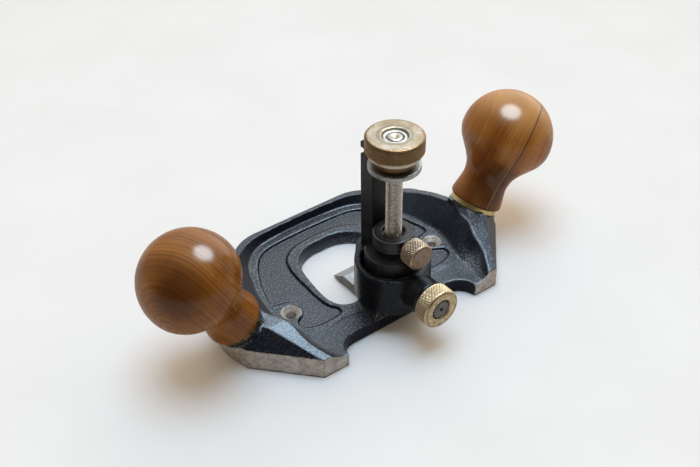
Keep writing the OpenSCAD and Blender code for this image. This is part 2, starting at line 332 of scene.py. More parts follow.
def project(fn, verts, rounds=2, eps=0.05):
    """Moves points onto the zero surface and returns them with their unit normals."""
    for r in range(rounds + 1):
        f = fn(verts)
        g = np.stack([fn(verts + e) - fn(verts - e) for e in np.eye(3) * eps], 1) / (2 * eps)
        n2 = np.maximum((g * g).sum(1), 1e-6)
        if r == rounds:
            return verts, g / np.sqrt(n2)[:, None]
        verts = verts - np.clip(f / n2, -0.3, 0.3)[:, None] * g

# ---------------------------------------------------------------- materials

class Mat:
    """Small helper that builds one node material. Coordinates are the piece's own, in millimetres."""

    def __init__(self, name):
        self.m = bpy.data.materials.new(name)
        self.m.use_nodes = True
        self.t = self.m.node_tree
        self.t.nodes.clear()
        out = self.add("ShaderNodeOutputMaterial")
        self.b = self.add("ShaderNodeBsdfPrincipled")
        self.t.links.new(self.b.outputs[0], out.inputs[0])
        tc = self.add("ShaderNodeTexCoord")
        self.p = self.vmath("SCALE", tc.outputs["Object"], 1000.0)

    def add(self, kind):
        return self.t.nodes.new(kind)

    def put(self, socket, value):
        if isinstance(value, bpy.types.NodeSocket):
            self.t.links.new(value, socket)
        else:
            if socket.type == "RGBA" and len(value) == 3:
                value = (*value, 1.0)
            socket.default_value = value

    def set(self, **values):
        for key, value in values.items():
            self.put(self.b.inputs[key.replace("_", " ")], value)

    def vmath(self, op, a, b=None):
        n = self.add("ShaderNodeVectorMath")
        n.operation = op
        self.put(n.inputs[0], a)
        if op == "SCALE":
            self.put(n.inputs["Scale"], b)
        elif b is not None:
            self.put(n.inputs[1], b)
        return n.outputs["Value"] if op in ("DOT_PRODUCT", "LENGTH", "DISTANCE") else n.outputs["Vector"]

    def math(self, op, a, b=None, c=None, clamp=False):
        n = self.add("ShaderNodeMath")
        n.operation = op
        n.use_clamp = clamp
        for s, v in zip(n.inputs, (a, b, c)):
            if v is not None:
                self.put(s, v)
        return n.outputs[0]

    def sep(self, v):
        n = self.add("ShaderNodeSeparateXYZ")
        self.put(n.inputs[0], v)
        return n.outputs[0], n.outputs[1], n.outputs[2]

    def comb(self, x, y, z):
        n = self.add("ShaderNodeCombineXYZ")
        for s, v in zip(n.inputs, (x, y, z)):
            self.put(s, v)
        return n.outputs[0]

    def noise(self, vec, scale, detail=2.0, rough=0.5, dist=0.0):
        n = self.add("ShaderNodeTexNoise")
        self.put(n.inputs["Vector"], vec)
        self.put(n.inputs["Scale"], scale)
        self.put(n.inputs["Detail"], detail)
        self.put(n.inputs["Roughness"], rough)
        self.put(n.inputs["Distortion"], dist)
        return n.outputs[0]

    def noise1(self, w, scale, detail=2.0, rough=0.5):
        n = self.add("ShaderNodeTexNoise")
        n.noise_dimensions = "1D"
        self.put(n.inputs["W"], w)
        self.put(n.inputs["Scale"], scale)
        self.put(n.inputs["Detail"], detail)
        self.put(n.inputs["Roughness"], rough)
        return n.outputs[0]

    def voronoi(self, vec, scale, feature="F1"):
        n = self.add("ShaderNodeTexVoronoi")
        n.feature = feature
        self.put(n.inputs["Vector"], vec)
        self.put(n.inputs["Scale"], scale)
        return n.outputs["Distance"]

    def ramp(self, fac, stops, interpolation="LINEAR"):
        n = self.add("ShaderNodeValToRGB")
        n.color_ramp.interpolation = interpolation
        els = n.color_ramp.elements
        while len(els) < len(stops):
            els.new(1.0)
        for e, (pos, col) in zip(els, stops):
            e.position = pos
            col = (col, col, col) if not hasattr(col, "__len__") else col
            e.color = (*col, 1.0) if len(col) == 3 else col
        self.put(n.inputs[0], fac)
        return n.outputs[0]

    def mix(self, fac, a, b, blend="MIX"):
        n = self.add("ShaderNodeMix")
        n.data_type = "RGBA"
        n.blend_type = blend
        self.put(n.inputs[0], fac)
        self.put(n.inputs[6], a)
        self.put(n.inputs[7], b)
        return n.outputs[2]

    def lerp(self, fac, a, b):
        n = self.add("ShaderNodeMix")
        n.data_type = "FLOAT"
        self.put(n.inputs[0], fac)
        self.put(n.inputs[2], a)
        self.put(n.inputs[3], b)
        return n.outputs[0]

    def span(self, v, a, b, lo=0.0, hi=1.0, smooth=True):
        n = self.add("ShaderNodeMapRange")
        n.interpolation_type = "SMOOTHSTEP" if smooth else "LINEAR"
        for s, x in zip(n.inputs, (v, a, b, lo, hi)):
            self.put(s, x)
        return n.outputs[0]

    def attr(self, name):
        n = self.add("ShaderNodeAttribute")
        n.attribute_name = name
        return n.outputs["Fac"]

    def bump(self, height, strength, distance, normal=None):
        n = self.add("ShaderNodeBump")
        self.put(n.inputs["Height"], height)
        self.put(n.inputs["Strength"], strength)
        self.put(n.inputs["Distance"], distance * MM)
        if normal is not None:
            self.put(n.inputs["Normal"], normal)
        return n.outputs[0]


FROST = (49.0, -4.0)


def casting_material(name, gloss):
    m = Mat(name)
    p = m.p
    edge, cav, bare, house = m.attr("edge"), m.attr("cavity"), m.attr("bare"), m.attr("house")
    panel, feet, wall, ridge = m.attr("panel"), m.attr("feet"), m.attr("wall"), m.attr("ridge")
    grain = m.noise(p, 1.15, 3.0, 0.62)
    fine = m.noise(p, 2.2, 2.0, 0.6)
    cloud = m.noise(p, 0.055, 3.0, 0.55)
    patch = m.noise(p, 0.22, 3.0, 0.6)
    # painted iron: blue-black, lightened where the grain is rubbed
    paint = m.mix(m.span(cloud, 0.3, 0.72), (0.0080, 0.0090, 0.0130, 1), (0.0125, 0.0140, 0.0190, 1))
    speck = m.span(grain, 0.50, 0.66)
    # the pale specks fade on the steep walls, the outer facets and the right ridge top: painted shade that keeps those
    # faces dark
    strong = m.lerp(wall, 0.80, 0.13)
    paint = m.mix(m.math("MULTIPLY", speck, m.lerp(house, strong, 0.03)), paint, (0.140, 0.153, 0.175, 1))
    # the flat ridge tops: rubbed grain, lightened further as a painted sheen
    paint = m.mix(m.math("MULTIPLY", ridge, m.span(grain, 0.43, 0.60, 0.0, 0.85)), paint, (0.135, 0.155, 0.182, 1))
    black = m.mix(m.span(patch, 0.35, 0.75), (0.0050, 0.0047, 0.0056, 1), (0.009, 0.0086, 0.0096, 1))
    paint = m.mix(house, paint, black)
    # painted shade: darker in the concave corners, and a dark line along the steps of the floor
    line = m.span(m.math("ABSOLUTE", m.math("SUBTRACT", panel, 0.05)), 0.62, 0.25)
    line2 = m.math("MULTIPLY", m.span(m.math("ABSOLUTE", feet), 0.55, 0.15), 0.45)
    line = m.math("MAXIMUM", line, line2)
    line = m.math("MULTIPLY", line, m.span(patch, 0.25, 0.55, 0.6, 1.0))
    painted_shade = m.math("MAXIMUM", m.math("MULTIPLY", cav, 0.65), line)
    paint = m.mix(painted_shade, paint, (0.003, 0.0032, 0.0045, 1))
    # pale dust caught by the rough paint
    dust = m.math("MULTIPLY", m.span(fine, 0.66, 0.76), m.span(m.noise(p, 0.11, 2.0, 0.5), 0.52, 0.70))
    dust = m.math("MULTIPLY", dust, m.lerp(house, 0.55, 0.0))
    paint = m.mix(dust, paint, (0.20, 0.185, 0.155, 1))
    # painted highlight: a pale rim beside each step, broken up by the grain
    rub = m.span(m.math("ABSOLUTE", m.math("SUBTRACT", panel, 1.1)), 0.45, 0.12)
    rub = m.math("MULTIPLY", rub, m.span(grain, 0.38, 0.60))
    paint = m.mix(m.math("MULTIPLY", rub, 0.45), paint, (0.13, 0.145, 0.165, 1))
    # the slope inside the far foot is rubbed to the grain
    x, y, z = m.sep(p)
    away = m.math("ADD", m.math("POWER", m.math("SUBTRACT", x, FROST[0]), 2.0), m.math("POWER", m.math("SUBTRACT", y, FROST[1]), 2.0))
    frost = m.math("MULTIPLY", m.span(m.math("SQRT", away), 10.0, 2.0), m.span(grain, 0.42, 0.58, 0.0, 0.70))
    paint = m.mix(m.math("MULTIPLY", frost, m.span(z, 7.4, 7.9)), paint, (0.165, 0.182, 0.205, 1))
    # painted highlight: a pale line along the crest of the far wall
    crest = m.span(m.math("ABSOLUTE", m.attr("crest")), 0.65, 0.20)
    crest = m.math("MULTIPLY", crest, m.math("MULTIPLY", m.span(x, 30.0, 40.0), m.span(y, 24.0, 18.0)))
    crest = m.math("MULTIPLY", crest, m.math("MULTIPLY", m.span(z, 9.6, 10.8), m.span(grain, 0.34, 0.56, 0.25, 0.80)))
    paint = m.mix(crest, paint, (0.26, 0.29, 0.33, 1))
    # worn edges, lightened further as a painted highlight along the convex edges
    worn = m.span(m.math("ADD", edge, m.math("MULTIPLY", m.math("SUBTRACT", patch, 0.5), 0.5)), 0.30, 0.58)
    worn = m.math("MULTIPLY", worn, m.span(grain, 0.32, 0.50))
    paint = m.mix(m.math("MULTIPLY", worn, m.lerp(house, 0.92, 0.35)), paint, (0.36, 0.395, 0.44, 1))
    # ground iron where the sole's sides, underside and throat were machined
    metal = m.mix(m.span(m.noise(p, 0.35, 4.0, 0.65), 0.30, 0.72), (0.33, 0.275, 0.225, 1), (0.54, 0.49, 0.435, 1))
    rust = m.span(m.noise(p, 0.62, 4.0, 0.7), 0.60, 0.74)
    metal = m.mix(m.math("MULTIPLY", rust, 0.75), metal, (0.13, 0.072, 0.042, 1))
    pits = m.span(m.voronoi(p, 0.42), 0.20, 0.07)
    metal = m.mix(m.math("MULTIPLY", pits, 0.6), metal, (0.05, 0.032, 0.022, 1))
    # painted shadow: the ground iron darkens towards the sole, where it meets the table
    metal = m.mix(m.span(z, 1.3, 0.35, 0.0, 0.85), metal, (0.030, 0.020, 0.014, 1))
    ragged = m.math("ADD", bare, m.math("MULTIPLY", m.math("SUBTRACT", m.noise(p, 0.8, 3.0, 0.6), 0.5), 0.5))
    bare_mask = m.span(ragged, -0.10, 0.14)
    m.set(Base_Color=m.mix(bare_mask, paint, metal))
    m.set(Metallic=m.math("MULTIPLY", bare_mask, 0.35))
    rough_paint = m.lerp(house, m.lerp(speck, 0.32, 0.27), m.span(patch, 0.3, 0.7, 0.26, 0.34))
    rough_paint = m.lerp(painted_shade, rough_paint, 0.7)
    m.set(Roughness=m.lerp(bare_mask, rough_paint, m.span(patch, 0.3, 0.7, 0.40, 0.58)))
    shine = m.lerp(m.span(ridge, 0.10, 0.45), m.lerp(speck, 0.78 * gloss, 1.40 * gloss), gloss)
    m.set(Specular_IOR_Level=m.lerp(m.math("MAXIMUM", wall, painted_shade), shine, 0.07), Specular_Tint=(0.80, 0.90, 1.0, 1))
    height = m.math("ADD", m.math("MULTIPLY", grain, m.lerp(house, 1.0, 0.03)), m.math("MULTIPLY", fine, m.lerp(house, 0.30, 0.02)))
    height = m.math("MULTIPLY", height, m.lerp(bare_mask, 1.0, 0.15))
    m.set(Normal=m.bump(height, 0.8, 0.24))
    return m.m


def wood_material(name, along, across, seam, tone, curve, spacing, dark_patch_centre, contrast, top_sheen):
    """Varnished wood: growth layers are slightly curved sheets square to `across`, fibres run along `along`."""
    m = Mat(name)
    p = m.p
    centre, axis = along
    q = m.vmath("SUBTRACT", p, centre)
    u = m.vmath("DOT_PRODUCT", q, across)
    s = m.vmath("DOT_PRODUCT", q, axis)
    side = Vector(across).cross(Vector(axis)).normalized()
    w = m.vmath("DOT_PRODUCT", q, tuple(side))
    # the layers bow, and wave slowly
    wave = m.noise(q, 0.022, 1.0, 0.4)
    wave2 = m.noise(q, 0.10, 2.0, 0.5)
    bow = m.math("MULTIPLY", m.math("MULTIPLY", w, w), curve)
    u2 = m.math("ADD", m.math("ADD", u, bow), m.math("ADD", m.math("MULTIPLY", m.math("SUBTRACT", wave, 0.5), 7.0), m.math("MULTIPLY", m.math("SUBTRACT", wave2, 0.5), 1.0)))
    rings = m.noise1(u2, 0.95 / spacing, 1.0, 0.5)
    thin = m.noise1(u2, 2.3 / spacing, 3.0, 0.6)
    broad = m.noise1(u2, 0.085, 1.0, 0.5)
    # fibre streaks, long along the grain
    fq = m.vmath("SUBTRACT", q, m.vmath("SCALE", axis, m.math("MULTIPLY", s, 0.93)))
    fibre = m.noise(fq, 1.9, 3.0, 0.6)
    light, mid, dark, line = tone
    col = m.mix(m.span(broad, 0.30, 0.70), mid, light)
    col = m.mix(m.math("MULTIPLY", m.span(rings, 0.45, 0.66), 0.55 * contrast), col, dark)
    col = m.mix(m.math("MULTIPLY", m.span(thin, 0.52, 0.70), 0.46 * contrast), col, line)
    col = m.mix(m.math("MULTIPLY", m.span(fibre, 0.52, 0.75), 0.22), col, line)
    figure = m.noise(q, 0.06, 3.0, 0.55)
    col = m.mix(m.math("MULTIPLY", m.span(figure, 0.50, 0.74), 0.50), col, dark)
    # a darker patch about a given point on the front of each knob: partly wood figure, partly painted shade
    away = m.vmath("DISTANCE", m.vmath("ADD", q, m.vmath("SCALE", axis, m.math("MULTIPLY", s, -0.25))), dark_patch_centre)
    away = m.math("ADD", away, m.math("MULTIPLY", m.math("SUBTRACT", wave2, 0.5), 9.0))
    col = m.mix(m.span(away, 18.0, 5.0, 0.0, 0.80), col, line)
    # paler towards the top: a painted sheen where the light from above falls
    col = m.mix(m.span(s, 4.0, 21.0, 0.0, top_sheen), col, (0.66, 0.36, 0.130, 1))
    if seam is not None:
        off, lean = seam
        d = m.math("SUBTRACT", u, m.math("ADD", off, m.math("MULTIPLY", s, lean)))
        d = m.math("ADD", d, m.math("MULTIPLY", m.math("SUBTRACT", m.noise1(s, 0.16, 2.0, 0.5), 0.5), 0.5))
        col = m.mix(m.math("MULTIPLY", m.span(m.math("ABSOLUTE", m.math("ADD", d, 0.62)), 0.45, 0.15), 0.5), col, (0.42, 0.22, 0.085, 1))
        col = m.mix(m.math("MULTIPLY", m.span(m.math("ABSOLUTE", d), 0.45, 0.12), 0.88), col, (0.025, 0.010, 0.008, 1))
    m.set(Base_Color=col)
    m.set(Roughness=m.span(fibre, 0.3, 0.7, 0.36, 0.46))
    m.set(Specular_IOR_Level=0.0, Coat_Weight=0.53, Coat_Roughness=0.22, Coat_IOR=1.5)
    m.set(Normal=m.bump(m.math("ADD", m.math("MULTIPLY", fibre, 0.5), thin), 0.08, 0.08))
    return m.m


def brass_material(name, face, worn, stain, groove_colour, rough=(0.28, 0.46), scale=1.0, rings=None):
    m = Mat(name)
    p = m.p
    groove = m.attr("groove")
    blot = m.noise(p, 0.24 * scale, 4.0, 0.62, 0.4)
    mott = m.noise(p, 0.9 * scale, 4.0, 0.65)
    dots = m.noise(p, 2.6 * scale, 2.0, 0.5)
    col = m.mix(m.span(blot, 0.34, 0.68), face, worn)
    col = m.mix(m.math("MULTIPLY", m.span(mott, 0.52, 0.72), 0.55), col, stain)
    col = m.mix(m.math("MULTIPLY", m.span(dots, 0.60, 0.74), 0.35), col, stain)
    if rings is not None:
        col = rings(m, col)
    col = m.mix(m.span(groove, 0.10, 0.85), col, groove_colour)
    m.set(Base_Color=col)
    m.set(Metallic=m.lerp(groove, 0.92, 0.45))
    m.set(Roughness=m.math("ADD", m.span(mott, 0.3, 0.7, rough[0], rough[1]), m.math("MULTIPLY", groove, 0.15)))
    m.set(Normal=m.bump(m.math("ADD", mott, m.math("MULTIPLY", dots, 0.5)), 0.12, 0.06))
    return m.m


def steel_material(name, bright, dull, rust, rough=(0.26, 0.42), groove_colour=(0.10, 0.085, 0.07, 1), rust_amount=0.5, metal=0.95):
    m = Mat(name)
    p = m.p
    groove = m.attr("groove")
    blot = m.noise(p, 0.3, 4.0, 0.6)
    spots = m.noise(p, 1.4, 3.0, 0.65)
    col = m.mix(m.span(blot, 0.3, 0.7), dull, bright)
    col = m.mix(m.math("MULTIPLY", m.span(spots, 0.56, 0.72), rust_amount), col, rust)
    col = m.mix(m.span(groove, 0.15, 0.9), col, groove_colour)
    m.set(Base_Color=col)
    m.set(Metallic=metal)
    m.set(Roughness=m.span(spots, 0.3, 0.7, rough[0], rough[1]))
    m.set(Normal=m.bump(spots, 0.10, 0.05))
    return m.m


def black_steel_material(name, turned=False, rub=(0.20, 0.19, 0.18, 1), base=(0.0085, 0.0080, 0.0088, 1), mid=(0.020, 0.019, 0.0195, 1), gloss=0.26):
    """Blackened steel: dark, with rubbed edges and, on turned pieces, fine rings about the post."""
    m = Mat(name)
    p = m.p
    edge = m.attr("edge")
    cloud = m.noise(p, 0.16, 3.0, 0.55)
    grain = m.noise(p, 2.2, 3.0, 0.6)
    col = m.mix(m.span(cloud, 0.3, 0.7), base, mid)
    x, y, z = m.sep(p)
    bump = m.math("MULTIPLY", grain, 0.4)
    if turned:
        r = m.math("SQRT", m.math("ADD", m.math("MULTIPLY", x, x), m.math("MULTIPLY", y, y)))
        ring = m.noise1(m.math("ADD", r, m.math("MULTIPLY", z, 0.7)), 2.2, 2.0, 0.6)
        col = m.mix(m.math("MULTIPLY", m.span(ring, 0.50, 0.70), 0.7), col, (0.075, 0.070, 0.066, 1))
        bump = m.math("ADD", bump, m.math("MULTIPLY", ring, 1.5))
    worn = m.span(m.math("ADD", edge, m.math("MULTIPLY", m.math("SUBTRACT", grain, 0.5), 0.8)), 0.45, 0.85)
    col = m.mix(m.math("MULTIPLY", worn, 0.7), col, rub)
    m.set(Base_Color=col)
    m.set(Metallic=m.math("MULTIPLY", worn, 0.5))
    m.set(Roughness=m.span(cloud, 0.3, 0.7, 0.30, 0.42))
    m.set(Specular_IOR_Level=gloss)
    m.set(Normal=m.bump(bump, 0.14, 0.06))
    return m.m

# ---------------------------------------------------------------- casting

FLOOR = 8.2
sole_half = ([(0, 85.7), (29, 85.7)] + arc((29, 60.6), 25.1, 88, 50, 10) + [(64.4, 65.4, 3.0)]
             + arc((60.2, 46.2), 22, 42, 4, 10) + [(84.6, 35, 3.0), (85.4, 28, 4.0), (85.2, 22, 4.0), (82.5, 10.5, 0.5), (56.5, -18, 0.5), (0, -18)])
notch_half = [(0, -7.5), (30.6, -7.5)] + arc((30.6, -18.4), 10.9, 84, 0, 9) + [(43.5, -32), (0, -32)]
side_y = [-30, -17.9, -13.6, -7.1, -2, 2, 7.7, 18, 25, 30, 36, 44, 53, 61, 72, 78, 95]
side_z = [7.5, 11.1, 12.9, 15.7, 17.9, 19.6, 22.0, 23.4, 22.8, 20.9, 18.8, 17, 15.4, 14.2, 13.2, 13, 13]
edge_half = [(0, 82.6), (14, 82.4), (21, 82.0), (27.6, 81.7), (34, 80.5), (39.3, 78.4), (43.5, 75.6), (52, 69.2), (58.9, 63.2), (64.6, 54.9),
             (66.9, 48.9), (68.2, 41.8), (68.4, 36.3), (67.1, 30.5), (65.4, 23.5), (64.5, 18.7), (63.6, 14.4), (61.8, 10), (59.6, 5.7), (58.6, 2),
             (58.2, -2.2), (57.1, -6.8), (55.3, -10.5), (53.2, -14.5), (50.9, -18), (48.5, -30)]
foot_half = [(0, 81.7), (14, 81.2), (21, 80.5), (27, 79.8), (32.5, 78), (38, 74.6), (44, 68.2), (47.2, 61), (49.6, 52.5), (51.5, 47.9), (53, 40.8),
             (54.4, 33.8), (55.4, 29), (54.5, 22.9), (53.1, 17.1), (51.4, 11.2), (49.8, 4), (48.2, -4), (46.4, -12), (45.2, -18), (44, -30)]
throat_half = [(0, 63.2), (6, 63.2), (10, 62.5), (15, 60.3), (18.6, 57.3), (21.2, 53.6), (23.4, 47.4), (24.6, 41), (25.5, 34), (26.2, 27),
               (26.2, 21), (25, 16), (22.4, 12.5), (19, 10.8), (14, 10.3), (0, 10.3)]
panel_half = [(0, 75.9), (12, 75.6), (20, 75.2), (26, 74.6), (31.5, 73.0), (35.6, 70.2), (39.3, 66), (42.9, 60.2), (45.9, 54), (47.9, 49.4),
              (49.8, 43), (51.2, 38.5), (51.6, 35.6), (50.8, 34), (49.4, 33.2), (47.6, 32.8), (45.4, 32.6), (42.9, 31.2), (41.2, 28.8),
              (40.6, 25.5), (41.3, 22), (43, 19.2), (45.4, 17.4), (47.4, 16.6), (48.8, 14.8), (48.8, 12.2), (45.9, 9.2), (41, 7.8),
              (33.3, 7.5), (28, 8.1), (25.9, 9.8), (25.9, 12.6), (28.3, 15.3)]
lip_half = [(0, 68.8), (8, 68.6), (14, 67.8), (19.2, 65.8), (22.7, 63.2), (25.5, 59.8), (26.9, 56.6), (28.5, 50.3), (29.2, 43.1), (29.4, 36),
            (29.9, 28), (29.6, 20.2), (28.3, 15.0), (25.4, 11.6), (25, 0), (0, 0)]
feet_half = [(17.3, 0.9), (21.2, 2.8), (27.6, 3.9), (34.4, 3.2), (40.8, 2.2), (46.2, 3.7), (50.3, 5.7), (51.5, -6), (52, -24), (17.5, -24)]

GX0, GY0, GSTEP, GNX, GNY = 0.0, -34.0, 0.25, 380, 500


def plan_fields():
    """Plan distances and the height of the casting's top, on a fine grid of the right half."""
    x = (GX0 + np.arange(GNX) * GSTEP)[:, None] + np.zeros((1, GNY))
    y = (GY0 + np.arange(GNY) * GSTEP)[None, :] + np.zeros((GNX, 1))
    sd = lambda half, r: polygon_distance(x, y, round_polygon(mirror_x(half), r))
    out = sd(sole_half, 1.2)
    notch = sd(notch_half, 1.0)
    edge = sd(edge_half, 1.6)
    foot = sd(foot_half, 5.0)
    throat = sd(throat_half, 2.0)
    panel = np.maximum(polygon_distance(x, y, round_polygon(mirror_x(panel_half), 1.5)), -sd(lip_half, 2.0))
    feet = polygon_distance(x, y, round_polygon(feet_half, 2.0))
    prof = np.interp(y, side_y, side_z)
    df, de = np.maximum(foot, 0.0), np.maximum(-edge, 0.0)
    t = np.where(edge > 0, 1.0, df / np.maximum(df + de, 1e-6))
    e = sstep(-2.0, 14.0, y)
    front = sstep(54.0, 70.0, y)
    cove = e * (0.86 * t + 0.14 * t * t) + (1 - e) * (0.15 * t + 0.85 * t ** 2.2)
    cove = cove * (1 - front) + front * t
    h = FLOOR + (prof - FLOOR) * cove
    # beside the bosses the top of the wall falls away outward
    fall = 0.8 * sstep(67.0, 60.0, y) * sstep(21.5, 28.0, y) * np.maximum(edge - 4.0, 0.0)
    h = np.where(t >= 1.0, prof - fall, h)
    # soften the foot of the wall, not the sharp inner edge of its top
    blurred = h.copy()
    for _ in range(12):
        b = np.pad(blurred, 1, mode="edge")
        blurred = (b[:-2, 1:-1] + b[2:, 1:-1] + b[1:-1, :-2] + b[1:-1, 2:] + 4 * b[1:-1, 1:-1]) / 8
    w = sstep(0.40, 0.10, t) * (edge < -1.5)
    h = h * (1 - w) + blurred * w
    inner = 1 - sstep(0.05, 0.45, t)
    h = h - inner * (1.25 * sstep(0.70, -0.45, panel) + 0.4 * sstep(0.5, -0.5, feet))
    # the painted shade line of a step that faces forward lies on its upper side
    mark = panel - 0.75 * sstep(0.3, 0.9, -np.gradient(panel, GSTEP, axis=1))
    # the steep inner faces, and the flat tops of the two ridges
    wall = (e * sstep(0.02, 0.12, t) + (1 - e) * sstep(0.35, 0.80, t)) * sstep(0.35, -0.05, edge)
    ridge = sstep(0.0, 0.5, edge) * sstep(22.0, 17.0, y)
    return {"out": out, "notch": notch, "throat": throat, "h": h, "edge": edge, "panel": mark, "feet": feet, "wall": wall, "ridge": ridge}

FIELDS = plan_fields()
slope_x, slope_y = np.gradient(FIELDS["h"], GSTEP)
FIELDS["cos"] = 1.0 / np.sqrt(1.0 + np.minimum(slope_x ** 2 + slope_y ** 2, 9.0))


def sample(name, x, y):
    """A plan field at any points, both halves."""
    a = FIELDS[name]
    u = np.clip((np.abs(x) - GX0) / GSTEP, 0, GNX - 1.001)
    v = np.clip((y - GY0) / GSTEP, 0, GNY - 1.001)
    i, j = u.astype(np.int64), v.astype(np.int64)
    fu, fv = u - i, v - j
    return (a[i, j] * (1 - fu) * (1 - fv) + a[i + 1, j] * fu * (1 - fv) + a[i, j + 1] * (1 - fu) * fv + a[i + 1, j + 1] * fu * fv)


KNOB_C = np.array([99.9, 25.3, 55.4])
KNOB_A = np.array([math.sin(math.radians(30.7)), 0.0, math.cos(math.radians(30.7))])
SEAT = 43.4
HOLE = (47.2, 23.8)


def casting_distance(x, y, z, plan):
    """Signed distance, about, to the casting. x, y, z broadcast; plan(name) gives a plan field at x, y."""
    ax = np.abs(x)
    out = plan("out")
    k_edge = np.where(y > 40, 1.7, 0.5) * sstep(1.0, 5.0, z) + 0.2
    top = (z - plan("h")) * plan("cos")
    # the notch, and the throat, which tapers a little towards the sole
    f = smax(top, -plan("notch") + 0 * z, 0.25 + 1.1 * sstep(2.5, 6.5, z))
    f = smax(f, -plan("throat") - 0.13 * (FLOOR - z), 0.25 + 1.1 * sstep(2.5, 6.5, z))
    f = smax(f, out + 0 * z, k_edge)
    # outer facet of each ridge
    n = np.array([0.626, -0.572, 0.530])
    f = smax(f, (ax - 56.5) * n[0] + (y + 18) * n[1] + (z - 11.1) * n[2], 0.5)
    # knob bosses
    qx, qy, qz = ax - KNOB_C[0], y - KNOB_C[1], z - KNOB_C[2]
    s = qx * KNOB_A[0] + qz * KNOB_A[2]
    r = np.sqrt(np.maximum(qx * qx + qy * qy + qz * qz - s * s, 1e-9))
    boss = np.maximum(smax(r - 13.8, s + SEAT, 0.8), 6.4 - z)
    boss = smax(boss, -plan("edge") - 0.2 + 0 * z, 0.8)
    f = smin(f, boss, 1.2)
    f = smax(f, -np.maximum(r - 15.2, -(s + SEAT)), 0.5)
    # housing, with its nose over the throat, its pillar and the clamp boss
    c0 = np.hypot(ax, y) - 19.3
    nose = np.hypot(ax, y - 14.7) - 9.5
    flank = np.maximum(np.maximum((ax - 14.4) * 0.745 + (y - 12.86) * 0.667, 12.5 - y), y - 21.2)
    body = smin(smin(c0, nose, 3.0), flank, 1.0)
    house = smax(body + 0 * z, smax(z - 35.6, 14.0 - z, 1.0), 0.9)
    pillar = np.maximum(np.maximum(np.hypot(ax, y) - 16.6, np.abs(y - 1.95) - 8.35) + 0 * z, np.maximum(2 - z, z - 16))
    house = smin(house, smax(np.hypot(ax, z - 27.2) - 9.4, np.maximum(y + 12, -28.6 - y), 0.8), 3.0)
    f = smin(f, smin(house, pillar, 2.5), 2.5)
    # pocket, shank slot, clamp bore
    pocket = np.maximum(np.hypot(ax, y) - 16.2 + 0 * z, 17.0 - z)
    f = smax(f, -pocket, 0.7)
    slot = np.maximum(ax - 4.90, np.abs(y - 15.22) - 5.10) + 0 * z
    f = smax(f, -slot, 0.5)
    bore = np.maximum(np.hypot(ax, z - 27.2) - 3.1, y + 10)
    f = smax(f, -bore, 0.3)
    spring = np.maximum(np.hypot(ax, z - 27.2) - 5.2, np.maximum(y + 8, -23.8 - y))
    f = np.maximum(f, -spring)
    # countersunk holes
    rh = np.hypot(ax - HOLE[0], y - HOLE[1])
    f = smax(f, -np.minimum(rh - 2.7 + 0 * z, (rh - 5.2 - (z - FLOOR)) * 0.707), 0.25)
    # the ground sole
    return smax(f, -z + 0 * f, 0.7)


def casting_points(p):
    x, y, z = p[:, 0], p[:, 1], p[:, 2]
    return casting_distance(x, y, z, lambda n: sample(n, x, y))


